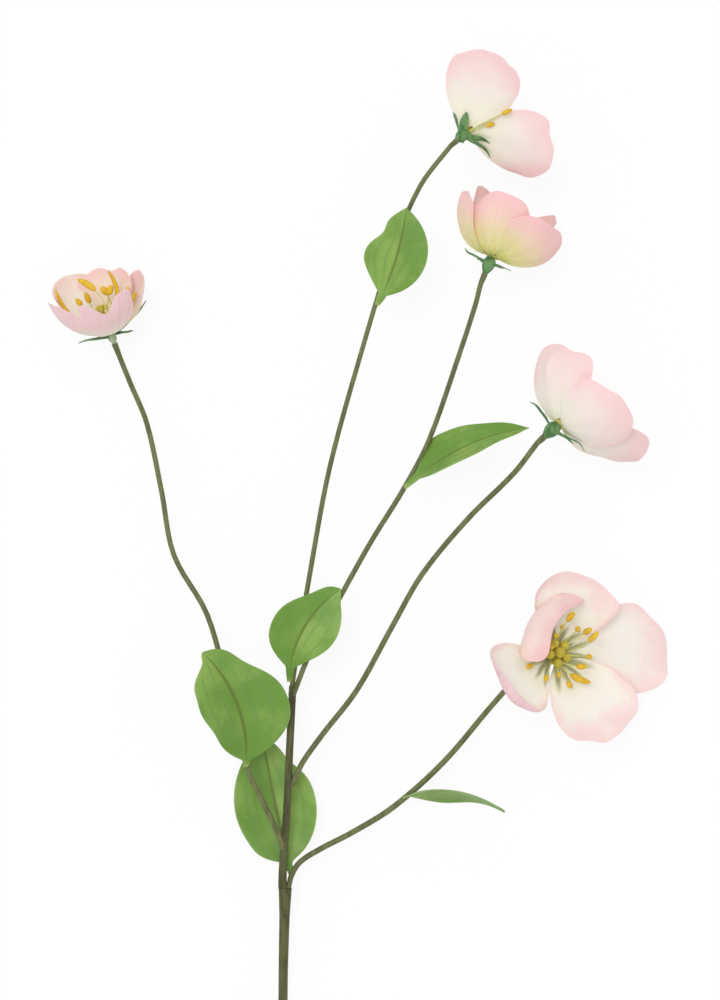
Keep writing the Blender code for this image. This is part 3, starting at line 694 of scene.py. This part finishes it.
petalShape = {
    "rows": 28, "columns": 34, "thickness": 0.4, "ends": (1.0, 0.45), "claw": (2.75, 0, 0.8),
    "sideDrop": 0.88, "ripple": 0.012, "rimWaves": (0.9, 0.4), "sway": 0.6, "ribs": (3, 0.15),
}
calyxShape = {
    "rings": ((1.35, -11.2), (1.5, -9.8), (2.3, -8.3), (3.5, -6.2), (4.0, -3.9), (3.7, -1.5), (2.8, 0.1)),
    "sepalSeat": (3.2, -3.2), "sepalWall": 0.32,
}
stamenShape = {"seat": (2.2, 0.4), "filament": (0.42, 0.32), "tip": 0.3, "hidden": 15}
pistilShape = {
    "risesAndSizes": {"a": (2, 0.4), "b": (2, 0.4), "c": (2, 0.4), "d": (1.5, 1), "e": (12, 0.5)},
    "foot": ((6.2, 0.2), (5.4, 0.9)), "knob": 2.8, "lobe": 2.4, "lobes": 5, "lobeReach": 5.2,
    "lobeDrop": 0.9, "top": 4.6, "lumps": 0.9,
}


def flowerPlace(flower):  # Z along the flower's axis, X on its upper side
    axis = flowerAxis(flower)
    upper = (Vector((0, 0, 1)) - axis * axis.z).normalized()
    place = Matrix((upper, axis.cross(upper), axis)).transposed().to_4x4()
    place.translation = Vector(flower["seat"]) * mm
    return place


def petalSurface(petal, number):  # gives the point on a ray of the fan, at a share of the way out
    line = bentLine(petal["length"], (0, 0), [90 - turn for turn in petal["open"]],
                    (petal["roll"], petal["roll"]), petal.get("hinge", 1))
    arch = petal["width"] / 2 / math.radians(petal["cup"])
    claw = Vector(petalShape["claw"])
    ends = petal.get("ends", petalShape["ends"])
    chance = random.Random(f"{petal['spin']} {number}")
    phases = [chance.uniform(0, 6.28) for wave in range(4)]
    ribCount, ribHeight = petal.get("ribs", petalShape["ribs"])
    slowWave, fastWave = petalShape["rimWaves"]

    def at(fan, out):
        rimShare = 1 - petalShape["sideDrop"] * abs(fan) ** 2.2
        reach = out * (1 + petalShape["ripple"] * out * math.sin(11 * fan + phases[0]))
        for place, depth, spread in petal.get("notches", ()):
            reach *= 1 - depth * math.exp(-((fan - place) / spread) ** 2) * out ** 2.5
        off = math.copysign(halfWidth(petal["width"], rimShare, *ends) * reach, fan)
        off *= 1 + petal.get("skew", 0) * math.copysign(1, fan)
        point, aside, upper = line(rimShare * reach)
        turn = off / arch
        normal = upper * math.cos(turn) - aside * math.sin(turn)
        point = claw + point + aside * arch * math.sin(turn) + upper * arch * (1 - math.cos(turn))
        far = rimShare * reach
        lift = slowWave * math.sin(5.2 * fan + phases[1]) * out ** 4
        lift += fastWave * math.sin(13 * fan + phases[2]) * out ** 6
        lift = lift * far ** 1.5 + petalShape["sway"] * math.sin(3.1 * fan + phases[3]) * far
        lift += ribHeight * math.sin(ribCount * math.pi * fan) * math.sin(math.pi * min(far * 1.1, 1)) ** 0.7
        for place, start, end, depth in petal.get("creases", ()):
            inside = math.sin(math.pi * min(max((out - start) / (end - start), 0), 1))
            lift -= depth * math.exp(-((fan - place - 0.25 * (out - start)) / 0.07) ** 2) * inside
        return point + normal * lift, normal

    def curled(fan, out):  # the same, with the rim rolled in where the petal has curls
        start, parts = petal.get("curls", (1, ()))
        turn = math.radians(sum(amount * math.exp(-((fan - place) / spread) ** 2)
                                for place, spread, amount in parts))
        if out <= start or abs(turn) < 0.02:
            return at(fan, out)[0]
        edge, normal = at(fan, start)
        run = at(fan, 1)[0] - edge
        ahead = run.normalized()
        normal = (normal - ahead * normal.dot(ahead)).normalized()
        bend = turn * (out - start) / (1 - start)
        return edge + (ahead * math.sin(bend) + normal * (1 - math.cos(bend))) * (run.length / turn)

    return curled


def makePetal(letter, number, petal, place):
    surface = petalSurface(petal, number)
    turned = place @ Matrix.Rotation(math.radians(petal["spin"]), 4, "Z")
    sheet = addSheet(petalShape["rows"], petalShape["columns"])
    for vertex in sheet.data.vertices:
        vertex.co = turned @ (surface(vertex.co.y, (vertex.co.x + 1) / 2) * mm)
    closeSheet(sheet, petalShape["thickness"], petalMaterials[petal.get("inner", "cream")],
               petalMaterials[petal.get("outer", "blush")])
    piece = joinPieces(f"petal{letter.upper()}{number}", [sheet])
    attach(piece, "root")
    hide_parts(f"flower_{letter}_petal_{number}")


def makeCalyx(letter, flower, place):
    size = flower["calyx"]
    rings = [(radius * size, height * size) for radius, height in calyxShape["rings"]]
    body = growTower("calyxBody", rings, 20)
    body.data.transform(place)
    body.data.materials.append(skins[flower.get("calyxSkin", "calyxSkin")])
    parts = [body]
    radius, low = (value * size for value in calyxShape["sepalSeat"])
    for turn, first, last, length, width, tipTurn in flower["sepals"]:
        line = bentLine(length, (turn, turn + 9), (90 - first, 90 - last), (0, 18),
                        tipTurn=tipTurn, tipFrom=0.6)
        around = math.radians(turn)
        start = Vector((radius * math.cos(around), radius * math.sin(around), low))
        sheet = addSheet(16, 6)
        for vertex in sheet.data.vertices:
            share = (vertex.co.x + 1) / 2
            half = width / 2 * (1 - share) ** 0.9 * (0.7 + 1.5 * share) + 0.1
            point, aside, upper = line(share)
            lift = 0.3 * vertex.co.y ** 2 * half + 0.3 * math.sin(9 * share + turn) * share
            vertex.co = place @ ((start + point + aside * half * vertex.co.y + upper * lift) * mm)
        closeSheet(sheet, calyxShape["sepalWall"], skins["calyxSkin"], skins["calyxSkin"])
        parts.append(sheet)
    piece = joinPieces("calyx" + letter.upper(), parts)
    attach(piece, "root")
    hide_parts(f"flower_{letter}_calyx")


def antherRadius(share, thick):  # along an anther, from its filament to its blunt end
    slim = stamenShape["tip"]
    return slim + (thick - slim) * max(math.sin(math.pi * share ** 0.8), 0) ** 0.6


def makeStamens(letter, flower, place):
    stamens = flower["stamens"]
    if not stamens:  # inside a closed bowl: an even ring of long and short ones
        gap = 360 / stamenShape["hidden"]
        stamens = [(gap * index, gap * index + 8, 10, 26 + 6 * (index % 3),
                    24 if index % 3 == 0 else 17, 4, 1.2) for index in range(stamenShape["hidden"])]
    filaments, anthers = [], []
    radius, rise = stamenShape["seat"]
    for spin, lastSpin, first, last, length, antherLength, thick in stamens:
        line = bentLine(length, (spin, lastSpin), (90 - first, 90 - last))
        around = math.radians(spin)
        start = Vector((radius * math.cos(around), radius * math.sin(around), rise))
        split = 1 - antherLength / length
        filaments.append([(place @ ((start + line(split * step / 10)[0]) * mm),
                           blend(stamenShape["filament"], step / 10)) for step in range(11)])
        anthers.append([(place @ ((start + line(blend((split, 1), step / 12))[0]) * mm),
                         antherRadius(step / 12, thick)) for step in range(13)])
    threads = addRod("threads", filaments, 1)
    threads.data.materials.append(skins["filamentSkin"])
    tips = addRod("tips", anthers, 2)
    tips.data.materials.append(skins["antherSkin"])
    piece = joinPieces("stamens" + letter.upper(), [threads, tips])
    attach(piece, "root")
    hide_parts(f"flower_{letter}_stamens")


def makePistil(letter, place):
    rise, size = pistilShape["risesAndSizes"][letter]
    foot = [(radius * size, height) for radius, height in pistilShape["foot"]]
    parts = [growTower("foot", foot + [(1.5, 1.6), (1.2, rise + 1), (1.0, rise + 2)], 16)]
    balls = [(0, 0, 0, pistilShape["knob"])]
    balls += [(pistilShape["lobeReach"], 72 * index - 150, pistilShape["lobeDrop"], pistilShape["lobe"])
              for index in range(pistilShape["lobes"])]
    for out, turn, drop, radius in balls:
        bpy.ops.object.select_all(action="DESELECT")
        bpy.ops.mesh.primitive_uv_sphere_add(segments=26, ring_count=16, radius=radius * size * mm)
        ball = bpy.context.object
        around = math.radians(turn)
        height = rise + (pistilShape["top"] - drop) * size
        spot = Vector((out * size * math.cos(around), out * size * math.sin(around), height))
        ball.data.transform(Matrix.Translation(spot * mm))
        bpy.ops.object.shade_smooth()
        parts.append(ball)
    piece = joinPieces("pistil" + letter.upper(), parts)
    lumps = bpy.data.textures.new("lumps", "CLOUDS")
    lumps.noise_scale = pistilShape["lumps"] * mm
    rough = piece.modifiers.new("Rough", "DISPLACE")
    rough.texture = lumps
    rough.strength = pistilShape["lumps"] * mm * size
    applyModifiers(piece)
    piece.data.transform(place)
    piece.data.materials.clear()
    piece.data.materials.append(skins["pistilSkin"])
    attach(piece, "root")
    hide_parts(f"flower_{letter}_pistil")


for letter, flower in flowers.items():
    place = flowerPlace(flower)
    for number, petal in enumerate(flower["petals"], 1):
        makePetal(letter, number, petal, place)
    makeCalyx(letter, flower, place)
    makeStamens(letter, flower, place)
    makePistil(letter, place)
    print("flower", letter, "ready")

studio = {
    "sun": 0.9, "sunSize": 28, "sunTurn": (-13, -12), "sky": 0.75, "paper": 0.9, "paperGlow": 1.02,
    "glowShare": 0.86, "cameraHeight": 2.0, "cameraY": 0.0495, "lens": 142.6,
}


def makeFloor():  # white to the eye, and it keeps the plant's shadow
    bpy.ops.object.select_all(action="DESELECT")
    bpy.ops.mesh.primitive_plane_add(size=6, location=(0, 0, -0.0002))
    floor = bpy.context.object
    floor.name = "floor"
    paper = bpy.data.materials.new("paper")
    paper.use_nodes = True
    tree = paper.node_tree
    shader = tree.nodes["Principled BSDF"]
    shader.inputs["Base Color"].default_value = (studio["paper"], studio["paper"], studio["paper"], 1)
    shader.inputs["Roughness"].default_value = 0.9
    shader.inputs["Specular IOR Level"].default_value = 0.1
    glow = tree.nodes.new("ShaderNodeEmission")
    glow.inputs["Strength"].default_value = studio["paperGlow"]
    rays = tree.nodes.new("ShaderNodeLightPath")
    seen = calc(tree, "MAXIMUM", rays.outputs["Is Camera Ray"], rays.outputs["Is Glossy Ray"])
    seen = calc(tree, "MAXIMUM", seen, rays.outputs["Is Transmission Ray"])
    mixed = tree.nodes.new("ShaderNodeMixShader")
    tree.links.new(calc(tree, "MULTIPLY", seen, studio["glowShare"]), mixed.inputs[0])
    tree.links.new(shader.outputs[0], mixed.inputs[1])
    tree.links.new(glow.outputs[0], mixed.inputs[2])
    tree.links.new(mixed.outputs[0], tree.nodes["Material Output"].inputs["Surface"])
    floor.data.materials.append(paper)


def makeLight():  # a large soft sun, and a sky that is white to the camera
    sun = bpy.data.objects.new("sun", bpy.data.lights.new("sun", "SUN"))
    sun.data.energy = studio["sun"]
    sun.data.angle = math.radians(studio["sunSize"])
    sun.rotation_euler = [math.radians(turn) for turn in (*studio["sunTurn"], 0)]
    bpy.context.scene.collection.objects.link(sun)
    world = bpy.data.worlds.new("studio")
    bpy.context.scene.world = world
    world.use_nodes = True
    tree = world.node_tree
    sky = tree.nodes["Background"]
    sky.inputs["Color"].default_value = (1, 1, 1, 1)
    sky.inputs["Strength"].default_value = studio["sky"]
    bright = tree.nodes.new("ShaderNodeBackground")
    bright.inputs["Strength"].default_value = 1.0
    rays = tree.nodes.new("ShaderNodeLightPath")
    mixed = tree.nodes.new("ShaderNodeMixShader")
    tree.links.new(rays.outputs["Is Camera Ray"], mixed.inputs[0])
    tree.links.new(sky.outputs[0], mixed.inputs[1])
    tree.links.new(bright.outputs[0], mixed.inputs[2])
    tree.links.new(mixed.outputs[0], tree.nodes["World Output"].inputs["Surface"])


def makeCamera():  # looks straight down
    camera = bpy.data.objects.new("camera", bpy.data.cameras.new("camera"))
    camera.data.lens = studio["lens"]
    camera.data.sensor_width = 36
    camera.location = (0, studio["cameraY"], studio["cameraHeight"])
    bpy.context.scene.collection.objects.link(camera)
    bpy.context.scene.camera = camera


makeFloor()
makeLight()
makeCamera()
bpy.context.scene.view_settings.view_transform = "Standard"
print("studio ready")
